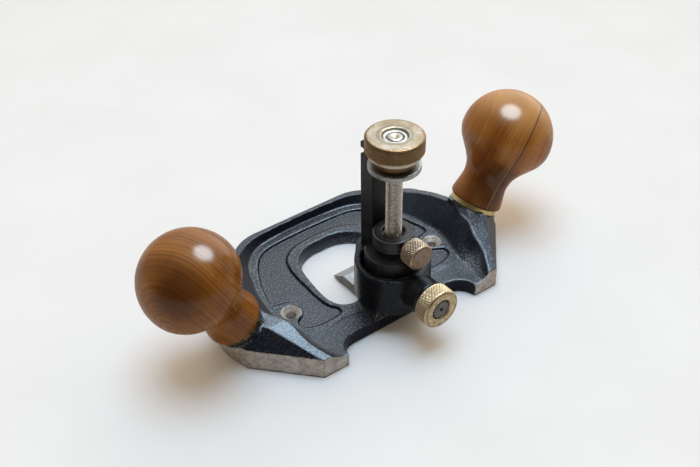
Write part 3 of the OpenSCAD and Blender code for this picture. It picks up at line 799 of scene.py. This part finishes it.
def build_casting(materials):
    step = 0.6
    xs = np.arange(-93.0, 93.0 + step, step)
    ys = np.arange(-30.5, 87.0 + step, step)
    zs = np.arange(-1.3, 38.0 + step, step)
    X, Y = np.meshgrid(xs, ys, indexing="ij")
    cache = {n: sample(n, X, Y)[:, :, None] for n in ("out", "notch", "h", "cos", "throat", "edge")}
    vals = casting_distance(X[:, :, None], Y[:, :, None], zs[None, None, :], lambda n: cache[n])
    verts, faces = surface_nets(vals, (xs[0], ys[0], zs[0]), step)
    verts, _ = project(casting_points, verts, 2)
    ob = new_object("casting", verts, faces, materials[0])
    # fewer faces on the flats
    mod = ob.modifiers.new("reduce", "DECIMATE")
    mod.ratio = 0.55
    dg = bpy.context.evaluated_depsgraph_get()
    me = bpy.data.meshes.new_from_object(ob.evaluated_get(dg))
    ob.modifiers.clear()
    old = ob.data
    ob.data = me
    bpy.data.meshes.remove(old)
    me.name = "casting"
    v = np.empty(len(me.vertices) * 3)
    me.vertices.foreach_get("co", v)
    v = v.reshape(-1, 3) / MM
    v, n = project(casting_points, v, 1)
    me.vertices.foreach_set("co", (v * MM).ravel())
    # guides for the finish and for the painted shade and highlights: distances in millimetres, so that borders stay
    # crisp
    d = 1.1
    edge = np.clip((casting_points(v - n * d) + d) / d, 0, 1)
    cav = np.clip((d - casting_points(v + n * d)) / d, 0, 1)
    x, y, z = v.T
    ax = np.abs(x)
    out, throat, notch = sample("out", x, y), sample("throat", x, y), sample("notch", x, y)
    side = np.minimum.reduce([out + 0.4, 11.9 - z, 62 - y, notch - 0.4])
    mouth = np.minimum(0.6 - np.abs(throat), 2.7 - z)
    sink = np.where(z > 2, 5.25 - np.hypot(ax - HOLE[0], y - HOLE[1]), -2.0)
    bare = np.clip(np.maximum.reduce([side, mouth, sink, 0.2 - z]), -2, 2)
    hx = np.hypot(x, y) - 20.2
    hn = np.hypot(ax, y - 14.7) - 10.2
    ht = np.maximum(np.hypot(ax, z - 27.2) - 10.2, y)
    house = sstep(0.6, 0.0, np.minimum(np.minimum(hx, hn), ht)) * sstep(10.5, 13.0, z)
    low = sstep(12.5, 9.5, z) * sstep(3.0, 6.0, z)
    wall = np.maximum(sample("wall", x, y), sstep(7.6, 6.6, z) * sstep(1.4, 0.6, np.minimum(np.abs(throat - 0.5), np.abs(notch))) * sstep(0.8, 0.4, np.abs(n[:, 2])))
    facet = np.sign(x) * n[:, 0] * 0.626 - n[:, 1] * 0.572 + n[:, 2] * 0.530
    wall = np.maximum(wall, 0.8 * sstep(0.93, 0.98, facet) * sstep(24, 20, y)) * sstep(0.75, 0.35, house)
    ridge = sample("ridge", x, y) * sstep(0.80, 0.88, n[:, 2])
    wall = np.maximum(wall, 0.70 * ridge * (x > 0))
    ridge = ridge * np.where(x > 0, 1.0, 0.5)
    edge = edge * (1 - 0.6 * sstep(-2.6, -1.6, out) * sstep(24, 30, y))
    panel = np.where(low > 0.5, np.clip(sample("panel", x, y), -6, 6), 6.0)
    feet = np.where(low > 0.5, np.clip(sample("feet", x, y), -6, 6), 6.0)
    for key, val in {"edge": edge, "cavity": cav, "bare": bare, "house": house, "panel": panel, "feet": feet, "wall": wall, "ridge": ridge,
                     "crest": np.clip(sample("edge", x, y), -6, 6)}.items():
        a = me.attributes.new(key, "FLOAT", "POINT")
        a.data.foreach_set("value", val.astype(np.float32))
    me.polygons.foreach_set("use_smooth", [True] * len(me.polygons))
    # the turned housing has a smoother paint than the rest
    me.materials.append(materials[1])
    me.polygons.foreach_set("material_index", [int(house[list(f.vertices)].mean() > 0.5) for f in me.polygons])
    me.update()
    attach(ob, "base")
    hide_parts("base_casting")
    return ob


paint = casting_material("casting_paint", 0.55)
black_paint = casting_material("housing_paint", 0.20)
casting = build_casting([paint, black_paint])
print("casting faces", len(casting.data.polygons))

# ---------------------------------------------------------------- wooden knobs and ferrules

R = 25.36
knob_top = [(R * math.sin(math.radians(a)), R * math.cos(math.radians(a))) for a in range(0, 88, 4)]
knob_low = spline([(25.33, 1.2), (25.05, -3.0), (23.2, -8.0), (20.6, -11.6), (17.9, -15.0), (15.6, -18.2), (13.85, -21.6), (12.9, -26.0),
                   (13.05, -29.4), (13.75, -33.0), (14.35, -36.0), (14.6, -38.0), (14.45, -39.2), (13.9, -39.9), (12.6, -40.0)], 5)
knob_profile = list(reversed(knob_top[1:] + knob_low))


def axis_of(side):
    return np.array([side * KNOB_A[0], 0.0, KNOB_A[2]])


def centre_of(side):
    return np.array([side * KNOB_C[0], KNOB_C[1], KNOB_C[2]])


LEFT_TONE = ((0.320, 0.122, 0.0210, 1), (0.205, 0.070, 0.0098, 1), (0.100, 0.030, 0.0045, 1), (0.050, 0.013, 0.0025, 1))
RIGHT_TONE = ((0.420, 0.165, 0.0340, 1), (0.245, 0.074, 0.0100, 1), (0.120, 0.038, 0.0065, 1), (0.052, 0.014, 0.0032, 1))
wood_left = wood_material("wood_left", (tuple(centre_of(-1)), tuple(axis_of(-1))), (0.716, 0.555, 0.425), None, LEFT_TONE, 0.012, 1.45, (-15.9, -17.4, 9.0), 0.85, 0.0)
wood_right = wood_material("wood_right", (tuple(centre_of(1)), tuple(axis_of(1))), (0.568, -0.751, -0.337), (9.1, 0.04), RIGHT_TONE, 0.004, 1.5, (-16, -12, -14), 0.7, 0.55)
for side, name, wood in ((-1, "left", wood_left), (1, "right", wood_right)):
    geo = lathe(knob_profile + [(0.0, R)], 128)
    put(f"wooden_knob_{name}", geo, wood, "base", [f"knob_{name}"], centre_of(side), axis_of(side))

ferrule_brass = brass_material("ferrule_brass", (0.52, 0.38, 0.15, 1), (0.62, 0.50, 0.24, 1), (0.20, 0.125, 0.055, 1), (0.03, 0.02, 0.012, 1), (0.26, 0.40))
ring = rounded([(4.0, -SEAT), (12.9, -SEAT), (13.3, -SEAT + 0.4), (13.3, -40.5), (12.8, -40.02), (4.0, -40.02), (4.0, -SEAT)], 0.25)
ferrule_dirty = brass_material("ferrule_dirty", (0.020, 0.016, 0.012, 1), (0.30, 0.22, 0.10, 1), (0.012, 0.010, 0.009, 1), (0.03, 0.02, 0.012, 1), (0.40, 0.60), 1.9)
for side, name, metal in ((-1, "left", ferrule_dirty), (1, "right", ferrule_brass)):
    put(f"brass_ferrule_{name}", lathe(ring, 96), metal, "base", [f"ferrule_{name}"], centre_of(side), axis_of(side), sharp=40)

# ---------------------------------------------------------------- knurled pieces, post and bush

def diamond(radius, z0, z1, pitch, depth, lean=1.0):
    """Diamond knurl between two heights: two families of V grooves that cross."""
    n = round(2 * math.pi * radius / pitch)

    def wobble(t, r, h):
        a = t * n / (2 * math.pi)
        b = h / pitch * lean
        v1 = np.abs(((a + b) % 1.0) - 0.5) * 2
        v2 = np.abs(((a - b) % 1.0) - 0.5) * 2
        cut = np.maximum(sstep(0.35, 1.0, v1), sstep(0.35, 1.0, v2))
        fade = sstep(z0, z0 + 0.5, h) * sstep(z1, z1 - 0.5, h) * (r > radius - 0.3)
        return -depth * cut * fade, cut * fade

    return wobble


def nut_rings(m, col):
    """Stains on the flat top: a dark ring round the bush, and a brighter outer band."""
    x, y, z = m.sep(m.p)
    r = m.math("SQRT", m.math("ADD", m.math("MULTIPLY", x, x), m.math("MULTIPLY", y, y)))
    r = m.math("ADD", r, m.math("MULTIPLY", m.math("SUBTRACT", m.noise(m.p, 0.5, 3.0, 0.6), 0.5), 1.8))
    top = m.span(z, 107.2, 107.9)
    pale = m.math("MULTIPLY", top, m.span(r, 13.4, 12.2))
    cloud = m.noise(m.p, 0.16, 3.0, 0.5)
    col = m.mix(m.math("MULTIPLY", pale, 0.85), col, m.mix(m.span(cloud, 0.25, 0.66), (0.138, 0.106, 0.066, 1), (0.262, 0.238, 0.196, 1)))
    bevel = m.math("MULTIPLY", m.span(z, 106.9, 107.7), m.span(r, 12.3, 13.3))
    col = m.mix(m.math("MULTIPLY", bevel, 0.85), col, (0.105, 0.064, 0.032, 1))
    ringd = m.math("MULTIPLY", m.span(m.math("ABSOLUTE", m.math("SUBTRACT", r, 8.1)), 1.3, 0.3), top)
    col = m.mix(m.math("MULTIPLY", ringd, 0.60), col, (0.105, 0.075, 0.046, 1))
    # painted shade: the top of the neck darkens under the overhanging shoulder
    groove = m.span(z, 98.4, 97.6)
    col = m.mix(m.math("MULTIPLY", groove, 0.85), col, (0.085, 0.055, 0.030, 1))
    shoulder = m.math("MULTIPLY", m.span(z, 98.0, 98.5), m.span(z, 100.9, 100.3))
    return m.mix(m.math("MULTIPLY", shoulder, 0.7), col, (0.42, 0.40, 0.37, 1))


nut_brass = brass_material("depth_knob_brass", (0.36, 0.215, 0.085, 1), (0.44, 0.29, 0.13, 1), (0.17, 0.095, 0.04, 1), (0.055, 0.032, 0.016, 1), rings=nut_rings)
nut_profile = rounded([(6.05, 93.2), (10.2, 93.2), (10.2, 98.2), (12.9, 98.2), (12.9, 100.4), (14.0, 100.4), (14.3, 100.8), (14.3, 107.8), (13.5, 108.6), (6.7, 108.6), (6.05, 108.0), (6.05, 93.2)], 0.22, 3)
nut_profile = densify(nut_profile, 0.17, 14.1)
put("depth_knob", lathe(nut_profile, 540, diamond(14.3, 100.7, 107.9, 1.12, 0.28)), nut_brass, "adjuster", ["adjuster_knob"], sharp=50)

bush_steel = steel_material("bush_steel", (0.34, 0.332, 0.32, 1), (0.22, 0.208, 0.19, 1), (0.12, 0.09, 0.066, 1), rough=(0.36, 0.50))
bush_profile = rounded([(4.2, 90.5), (12.5, 90.5), (12.87, 90.9), (12.87, 92.8), (12.5, 93.18), (6.0, 93.18), (6.0, 107.3), (5.7, 107.7), (4.5, 107.7), (4.2, 107.4), (4.2, 90.5)], 0.2, 3)
put("threaded_bush", lathe(densify(bush_profile, 0.6), 128), bush_steel, "adjuster", ["adjuster_bush"], sharp=40)

post_steel = steel_material("post_steel", (0.80, 0.77, 0.72, 1), (0.58, 0.53, 0.46, 1), (0.26, 0.19, 0.12, 1), rough=(0.24, 0.36), groove_colour=(0.24, 0.205, 0.16, 1), rust_amount=0.3)


def threaded_post():
    """Fine V thread, cut as a helix."""
    n, pitch, per = 56, 0.8, 6
    zs = np.concatenate([[3.0, 20.0], np.arange(38.0, 106.8, pitch / per), [106.9]])
    prof = np.stack([np.full(len(zs), 4.1), zs], 1)

    def wobble(t, r, h):
        ph = (h / pitch - t / (2 * math.pi)) % 1.0
        v = np.abs(ph - 0.5) * 2
        cut = sstep(0.25, 1.0, v) * sstep(38.0, 39.0, h) * sstep(106.8, 106.0, h)
        return -0.22 * cut, np.maximum(cut, 0.75 * (h > 106.95))

    verts, faces, groove = lathe([(0.0, 3.0)] + [tuple(q) for q in prof] + [(4.0, 107.2), (3.6, 107.7), (3.2, 107.9), (1.4, 107.9), (0.3, 107.0), (0.0, 106.9)], n, wobble)
    return verts, faces, groove


put("threaded_post", threaded_post(), post_steel, "base", ["adjuster_post"], sharp=60)

# ---------------------------------------------------------------- depth stop

collar_black = black_steel_material("collar_black", turned=True)
collar = rounded([(4.18, 45.5), (9.9, 45.5), (10.3, 45.9), (10.3, 52.4), (9.8, 52.9), (6.2, 52.9), (5.7, 52.5), (5.6, 50.9), (4.6, 50.4), (4.18, 50.2), (4.18, 45.5)], 0.22, 3)


def edge_by_profile(points):
    r = np.hypot(points[:, 0], points[:, 1])
    z = points[:, 2]
    e = np.exp(-((r - 10.05) / 0.28) ** 2 - ((z - 52.65) / 0.28) ** 2) + 0.7 * np.exp(-((r - 5.95) / 0.25) ** 2 - ((z - 52.7) / 0.25) ** 2)
    e = e + np.exp(-((r - 10.1) / 0.25) ** 2 - ((z - 45.7) / 0.25) ** 2)
    return {"edge": np.clip(e, 0, 1)}


put("stop_collar", lathe(densify(collar, 0.3), 128), collar_black, "depth_stop", ["depth_stop_collar"], sharp=50, extra=edge_by_profile)

def worn_face(y0, rim, dark, pale, ring):
    """Stained end face of a knob that points at the user: mottled, with a brown band at the rim."""
    def paint_face(m, col):
        x, y, z = m.sep(m.p)
        face = m.span(y, y0 + 0.5, y0 + 0.1)
        axis_z = 27.2 if rim > 8 else 49.2
        r = m.math("SQRT", m.math("ADD", m.math("MULTIPLY", x, x), m.math("POWER", m.math("SUBTRACT", z, axis_z), 2.0)))
        r = m.math("ADD", r, m.math("MULTIPLY", m.math("SUBTRACT", m.noise(m.p, 0.6, 3.0, 0.6), 0.5), 1.6))
        cloud = m.noise(m.p, 0.5, 4.0, 0.65)
        tone = m.mix(m.span(cloud, 0.36, 0.64), dark, pale)
        tone = m.mix(m.math("MULTIPLY", m.span(r, rim - 1.3, rim), 0.75), tone, ring)
        return m.mix(m.math("MULTIPLY", face, 0.9), col, tone)
    return paint_face


screw_brass = brass_material("thumbscrew_brass", (0.36, 0.255, 0.165, 1), (0.47, 0.36, 0.255, 1), (0.19, 0.125, 0.075, 1), (0.085, 0.052, 0.030, 1), (0.36, 0.50),
                             rings=worn_face(-22.1, 6.3, (0.145, 0.098, 0.066, 1), (0.215, 0.160, 0.118, 1), (0.12, 0.075, 0.045, 1)))
screw_profile = densify(rounded([(0.0, 4.3), (2.0, 4.3), (2.4, 4.7), (2.4, 11.4), (4.4, 11.4), (4.4, 13.3), (6.3, 13.3), (6.9, 13.9), (6.9, 21.2), (6.15, 22.1), (0.0, 22.1)], 0.25, 3), 0.17)
put("stop_thumbscrew", lathe(screw_profile, 300, diamond(6.9, 13.6, 21.4, 1.2, 0.34)), screw_brass, "stop_screw", ["depth_stop_screw"], (0, 0, 49.2), (0, -1, 0), sharp=50)

# ---------------------------------------------------------------- blade clamp

clamp_brass = brass_material("clamp_knob_brass", (0.58, 0.42, 0.235, 1), (0.68, 0.53, 0.345, 1), (0.22, 0.140, 0.070, 1), (0.150, 0.100, 0.058, 1), (0.32, 0.48),
                             rings=worn_face(-37.8, 9.7, (0.245, 0.178, 0.098, 1), (0.520, 0.420, 0.250, 1), (0.165, 0.106, 0.055, 1)))
clamp_profile = densify(rounded([(3.0, 29.2), (9.4, 29.2), (10.5, 30.0), (10.5, 36.9), (9.7, 37.8), (6.0, 37.8), (5.4, 37.2), (5.4, 33.02), (3.0, 33.02), (3.0, 29.2)], 0.25, 3), 0.17)
put("clamp_hand_knob", lathe(clamp_profile, 456, diamond(10.5, 29.9, 37.1, 1.1, 0.30)), clamp_brass, "clamp", ["clamp_knob"], (0, 0, 27.2), (0, -1, 0), sharp=50)

insert_steel = steel_material("screw_end_steel", (0.150, 0.140, 0.128, 1), (0.085, 0.078, 0.070, 1), (0.10, 0.07, 0.045, 1), rough=(0.38, 0.55), metal=0.7)


def splined(t, r, h):
    s = np.cos(t * 13)
    w = (r > 4.0) * (h > 32.9)
    return 0.40 * s * w, (s < -0.3) * w * 0.8


insert_profile = densify(rounded([(0.0, 13.7), (2.2, 13.7), (3.0, 14.5), (3.0, 33.0), (4.9, 33.0), (4.9, 37.0), (4.6, 37.4), (1.0, 37.4), (0.9, 37.2), (0.9, 35.6), (0.0, 35.6)], 0.2, 3), 0.5)
put("clamp_screw_end", lathe(insert_profile, 156, splined), insert_steel, "clamp", ["clamp_screw"], (0, 0, 27.2), (0, -1, 0), sharp=45)


def shoe_points(p):
    x, y, z = p[:, 0], p[:, 1], p[:, 2]
    r = np.hypot(x, y)
    f = smax(r - 14.5, smax(z - 41.6, 17.3 - z, 0.4), 0.9)
    f = smax(f, y - 10.6, 0.5)
    slot = np.maximum(np.hypot(x, np.clip(y, 0, 1.3) - y) - 4.4, -99)
    f = smax(f, -slot, 0.5)
    seat = np.maximum(np.hypot(x, z - 27.2) - 5.3, y + 13.6)
    return smax(f, -seat, 0.3)


def build_shoe(material):
    step = 0.42
    xs = np.arange(-15.5, 15.6 + step, step)
    ys = np.arange(-15.5, 11.8 + step, step)
    zs = np.arange(16.2, 42.6 + step, step)
    X, Y, Z = np.meshgrid(xs, ys, zs, indexing="ij")
    vals = shoe_points(np.stack([X.ravel(), Y.ravel(), Z.ravel()], 1)).reshape(X.shape)
    verts, faces = surface_nets(vals, (xs[0], ys[0], zs[0]), step)
    verts, n = project(shoe_points, verts, 2)
    d = 0.7
    edge = np.clip((shoe_points(verts - n * d) + d) / d, 0, 1)
    ob = new_object("clamp_block", verts, faces, material, attrs={"edge": edge})
    mod = ob.modifiers.new("reduce", "DECIMATE")
    mod.ratio = 0.5
    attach(ob, "clamp_shoe")
    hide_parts("clamp_shoe")


shoe_black = black_steel_material("shoe_black")
build_shoe(shoe_black)

# ---------------------------------------------------------------- blade

def extruded(name, outline_yz, half_width, bevel, material, body, replaces, extra=None):
    """A prism along X from a side outline, with small rounded edges."""
    n = len(outline_yz)
    verts = [(-half_width, y, z) for y, z in outline_yz] + [(half_width, y, z) for y, z in outline_yz]
    faces = [list(range(n)), list(range(2 * n - 1, n - 1, -1))]
    faces += [[i, i + n, (i + 1) % n + n, (i + 1) % n] for i in range(n)]
    faces = [f[::-1] for f in faces]
    ob = new_object(name, verts, faces, material, smooth=True)
    b = ob.modifiers.new("edges", "BEVEL")
    b.width = bevel * MM
    b.segments = 3
    b.limit_method = "ANGLE"
    b.angle_limit = math.radians(25)
    b.harden_normals = True
    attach(ob, body)
    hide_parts(*replaces)
    return ob


Y0, Y1, ZT, ZB = 10.66, 20.185, 97.5, 6.8
shank_outline = [(Y0, ZB), (Y1, ZB), (Y1, 90.1), (Y1 - 2.5, 90.1), (Y1 - 2.5, 93.6), (Y1, 93.6), (Y1, ZT - 0.8), (Y1 - 0.8, ZT),
                 (Y0 + 0.8, ZT), (Y0, ZT - 0.8), (Y0, 93.6), (Y0 + 2.5, 93.6), (Y0 + 2.5, 90.1), (Y0, 90.1)]
shank_black = black_steel_material("shank_black", base=(0.0040, 0.0038, 0.0044, 1), mid=(0.0085, 0.0080, 0.0088, 1), gloss=0.16)
extruded("blade_bar", shank_outline, 9.525 / 2, 0.35, shank_black, "blade", ["blade_shank"])

cutter_steel = steel_material("cutter_steel", (0.33, 0.32, 0.312, 1), (0.245, 0.232, 0.222, 1), (0.16, 0.13, 0.10, 1), rough=(0.64, 0.80), rust_amount=0.35)
extruded("cutter", [(10.95, 1.3), (40.3, 1.3), (40.3, 1.45), (31.1, 6.8), (10.95, 6.8)], 8.25, 0.12, cutter_steel, "blade", ["blade_head"])

# ---------------------------------------------------------------- spring; the real one shortens as the shoe moves back, this coil keeps one length

hidden_steel = steel_material("plain_steel", (0.55, 0.53, 0.50, 1), (0.40, 0.38, 0.35, 1), (0.22, 0.16, 0.11, 1))


def build_spring(material):
    turns, n, m, wire = 4, 160, 12, 0.45
    t = np.linspace(0, 1, n + 1)[:, None]
    b = np.arange(m)[None, :] * 2 * math.pi / m
    a = t * turns * 2 * math.pi
    r = 4.2 + wire * np.cos(b)
    pts = np.stack([r * np.cos(a), -(14.1 + 9.2 * t + wire * np.sin(b)), 27.2 + r * np.sin(a)], -1).reshape(-1, 3)
    faces = [[i * m + k, i * m + (k + 1) % m, (i + 1) * m + (k + 1) % m, (i + 1) * m + k] for i in range(n) for k in range(m)]
    faces += [list(range(m - 1, -1, -1)), list(range(n * m, n * m + m))]
    ob = new_object("spring_coil", pts, faces, material)
    bm = bmesh.new()
    bm.from_mesh(ob.data)
    bmesh.ops.recalc_face_normals(bm, faces=bm.faces)
    bm.to_mesh(ob.data)
    bm.free()
    smooth_by_angle(ob, 50)
    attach(ob, "base")
    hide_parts("clamp_spring")
    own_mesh(ob)


build_spring(hidden_steel)

# ---------------------------------------------------------------- pieces kept as they are in CAD

for node in ("knob_stud_left", "knob_stud_right", "blade_screw"):
    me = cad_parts[node].data
    me.materials.clear()
    me.materials.append(hidden_steel)
for node in ("knob_insert_left", "knob_insert_right"):
    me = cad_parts[node].data
    me.materials.clear()
    me.materials.append(ferrule_brass)

# ---------------------------------------------------------------- floor, light

def floor_material():
    m = Mat("pale_floor")
    n = m.noise(m.p, 0.012, 3.0, 0.5)
    m.set(Base_Color=m.mix(m.span(n, 0.3, 0.7), (0.80, 0.797, 0.79, 1), (0.83, 0.828, 0.825, 1)))
    m.set(Roughness=0.75, Specular_IOR_Level=0.2)
    return m.m


floor = new_object("floor", [(-4000, -4000, 0), (4000, -4000, 0), (4000, 4000, 0), (-4000, 4000, 0)], [[0, 1, 2, 3]], floor_material())


def area_light(name, pos_mm, aim_mm, size, power, colour=(1, 1, 1), diffuse=True, glossy=True):
    data = bpy.data.lights.new(name, "AREA")
    data.shape = "DISK"
    data.size = size
    data.energy = power
    data.color = colour
    ob = bpy.data.objects.new(name, data)
    scene.collection.objects.link(ob)
    pos = Vector(pos_mm) * MM
    d = Vector(aim_mm) * MM - pos
    ob.rotation_mode = "QUATERNION"
    ob.rotation_quaternion = d.to_track_quat("-Z", "Y")
    ob.location = pos
    ob.visible_diffuse = diffuse
    ob.visible_glossy = glossy
    return ob


area_light("key_soft", (30, 60, 2000), (20, 40, 0), 1.35, 20.0, (0.70, 1.0, 1.32), glossy=False)
area_light("key_shine", (122, 12, 400), (0, 20, 20), 0.25, 4.0, (0.76, 0.92, 1.03), diffuse=False)


def studio_world(backdrop, soft, shiny):
    """A dim room with soft lights in it, one balance for the soft light and one for what shiny surfaces mirror.
    Each balance is an even colour and lobes, and a lobe is a direction, a sharpness and a colour."""
    world = bpy.data.worlds.new("studio")
    scene.world = world
    world.use_nodes = True
    wt = world.node_tree
    wt.nodes.clear()
    tc = wt.nodes.new("ShaderNodeTexCoord")

    def sky(base, lobes):
        first = wt.nodes.new("ShaderNodeVectorMath")
        first.operation = "ADD"
        first.inputs[0].default_value = base
        first.inputs[1].default_value = (0.0, 0.0, 0.0)
        total = first.outputs["Vector"]
        for direction, power, colour in lobes:
            dot = wt.nodes.new("ShaderNodeVectorMath")
            dot.operation = "DOT_PRODUCT"
            dot.inputs[1].default_value = Vector(direction).normalized()
            wt.links.new(tc.outputs["Generated"], dot.inputs[0])
            lim = wt.nodes.new("ShaderNodeMath")
            lim.operation = "MAXIMUM"
            lim.inputs[1].default_value = 0.0
            wt.links.new(dot.outputs["Value"], lim.inputs[0])
            pw = wt.nodes.new("ShaderNodeMath")
            pw.operation = "POWER"
            pw.inputs[1].default_value = power
            wt.links.new(lim.outputs[0], pw.inputs[0])
            sc = wt.nodes.new("ShaderNodeVectorMath")
            sc.operation = "SCALE"
            sc.inputs[0].default_value = colour
            wt.links.new(pw.outputs[0], sc.inputs["Scale"])
            add = wt.nodes.new("ShaderNodeVectorMath")
            add.operation = "ADD"
            wt.links.new(total, add.inputs[0])
            wt.links.new(sc.outputs["Vector"], add.inputs[1])
            total = add.outputs["Vector"]
        return total

    path = wt.nodes.new("ShaderNodeLightPath")

    def choose(ray, a, b):
        mix = wt.nodes.new("ShaderNodeMix")
        mix.data_type = "RGBA"
        wt.links.new(path.outputs[ray], mix.inputs[0])
        for socket, value in ((mix.inputs[6], a), (mix.inputs[7], b)):
            if isinstance(value, tuple):
                socket.default_value = (*value, 1.0)
            else:
                wt.links.new(value, socket)
        return mix.outputs[2]

    colour = choose("Is Camera Ray", choose("Is Glossy Ray", sky(*soft), sky(*shiny)), backdrop)
    bg = wt.nodes.new("ShaderNodeBackground")
    bg.inputs["Strength"].default_value = 1.0
    wt.links.new(colour, bg.inputs["Color"])
    wo = wt.nodes.new("ShaderNodeOutputWorld")
    wt.links.new(bg.outputs[0], wo.inputs[0])


studio_world((0.82, 0.82, 0.82), ((0.12, 0.096, 0.07), [
    ((0.0, 0.95, 0.30), 1.6, (0.73, 0.61, 0.475)),
    ((0.85, 0.20, 0.40), 2.0, (1.02, 0.85, 0.66)),
    ((0.0, 0.0, 1.0), 2.0, (0.40, 0.34, 0.26)),
]), ((0.02, 0.019, 0.018), [
    ((0.0, 0.95, 0.30), 1.6, (0.55, 0.55, 0.55)),
    ((0.93, 0.28, 0.10), 6.0, (2.7, 2.7, 2.7)),
    ((0.42, 0.60, 0.68), 9.0, (1.22, 1.30, 1.36)),
    ((0.0, 0.0, 1.0), 2.0, (0.30, 0.29, 0.28)),
]))

scene.view_settings.view_transform = "Standard"
scene.view_settings.look = "None"
scene.view_settings.exposure = 0.0
scene.view_settings.gamma = 1.0
